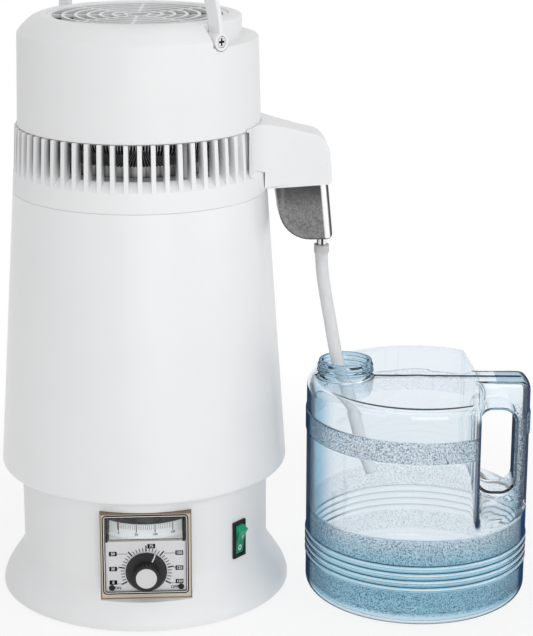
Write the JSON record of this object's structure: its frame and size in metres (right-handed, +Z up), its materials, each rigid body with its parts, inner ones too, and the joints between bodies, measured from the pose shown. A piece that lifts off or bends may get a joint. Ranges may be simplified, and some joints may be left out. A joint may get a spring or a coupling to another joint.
{
  "type": "countertop water distiller",
  "caption": "Countertop water distiller: white boiler on a control base with dial and rocker switch, lift-off fan-cooled head, spout with steel cup, hose and blue jug.",
  "frame": {"origin": "middle of the distiller's foot on the counter", "axes": "+Z up, +X towards the spout and jug, -Y towards the control panel"},
  "size_m": [0.4335, 0.2435, 0.5526],
  "materials": {
    "foot_rubber": "matt moulded rubber",
    "white_plastic": "satin moulded plastic",
    "white_enamel": "semi-gloss enamel on sheet steel",
    "zinc_plate": "zinc plated sheet",
    "screw_steel": "plated steel",
    "black_plastic": "fine moulded grain",
    "tan_plastic": "satin moulded plastic",
    "case_plastic": "moulded plastic",
    "dial_silver": "fine satin anodised face",
    "scale_white": "matt printed plate",
    "aluminium": "mill finish",
    "clear_window": "clear moulded window",
    "lamp_red": "unlit lamp lens",
    "steel": "drawn stainless steel",
    "cup_steel": "brushed stainless steel",
    "cutout_cream": "glazed body",
    "rocker_green": "translucent moulded rocker",
    "needle_red": "painted",
    "silicone": "moulded silicone",
    "fan_plastic": "moulded plastic",
    "hose_clear": "milky silicone tube",
    "jug_blue": "clear blue blow-moulded plastic"
  },
  "bodies": {
    "boiler": {"foot_ring": "foot_rubber", "base_shell": "white_plastic", "bottom_plate": "zinc_plate", "plate_screws": "screw_steel", "mains_inlet": "black_plastic", "fan_outlet": "black_plastic", "reset_collar": "black_plastic", "controller_bezel": "tan_plastic", "controller_case": "case_plastic", "dial_plate": "dial_silver", "meter_scale": "scale_white", "meter_movement": "aluminium", "meter_window": "clear_window", "lamp_lenses": "lamp_red", "dial_potentiometer": "screw_steel", "switch_body": "black_plastic", "boiler_shell": "white_enamel", "boiler_pot": "steel", "heating_plate": "aluminium", "thermal_cutout": "cutout_cream", "heater_studs": "screw_steel"},
    "knob": {"control_knob": "black_plastic", "knob_cap": "dial_silver", "knob_shaft": "screw_steel"},
    "rocker": {"switch_rocker": "rocker_green"},
    "needle": {"meter_needle": "needle_red"},
    "reset": {"reset_button": "needle_red"},
    "head": {"louvre_ring": "white_plastic", "spout_housing": "white_plastic", "top_cap": "white_plastic", "fan_guard": "white_plastic", "steam_lid": "steel", "lid_seal": "silicone", "steam_riser": "steel", "condenser_coil": "steel", "condenser_fins": "aluminium", "condensate_outlet": "steel", "fan_motor": "case_plastic", "motor_bracket": "zinc_plate", "motor_screws": "screw_steel", "motor_pillars": "white_plastic", "fan_inlet": "black_plastic", "handle_screws": "screw_steel"},
    "fan": {"fan_blade": "fan_plastic", "fan_nut": "screw_steel"},
    "handle": {"carry_handle": "white_plastic"},
    "cup": {"spout_cup": "cup_steel", "hose_nipple": "steel", "outlet_hose": "hose_clear"},
    "jug": {"jug_body": "jug_blue"}
  },
  "joints": [
    {"name": "head_lift", "type": "slide", "parent": "boiler", "child": "head", "axis": [0, 0, 1], "range_m": [0, 0.045]},
    {"name": "knob_turn", "type": "hinge", "parent": "boiler", "child": "knob", "pos_m": [0, -0.1, 0.0435], "axis": [0, 1, 0], "range_deg": [-144, 92]},
    {"name": "rocker_tip", "type": "hinge", "parent": "boiler", "child": "rocker", "pos_m": [0.07225, -0.06621, 0.057], "axis": [-0.6756, -0.7373, 0], "range_deg": [0, 20]},
    {"name": "needle_swing", "type": "hinge", "parent": "boiler", "child": "needle", "pos_m": [0, -0.051, 0.085], "axis": [0, 0, 1], "range_deg": [0, 57]},
    {"name": "reset_press", "type": "slide", "parent": "boiler", "child": "reset", "axis": [-0.5743, -0.8187, 0], "range_m": [0, 0.003], "stiffness_N_per_m": 300},
    {"name": "fan_spin", "type": "hinge", "parent": "head", "child": "fan", "pos_m": [0, 0, 0.44], "axis": [0, 0, 1], "continuous": true},
    {"name": "handle_fold", "type": "hinge", "parent": "head", "child": "handle", "pos_m": [0, 0, 0.4585], "axis": [-0.6691, 0.7431, 0], "range_deg": [0, 90]},
    {"name": "cup_draw", "type": "slide", "parent": "head", "child": "cup", "axis": [0, 0, -1], "range_m": [0, 0.012]},
    {"name": "jug_lift", "type": "slide", "parent": "boiler", "child": "jug", "axis": [0, 0, 1], "range_m": [0, 0.012]}
  ]
}
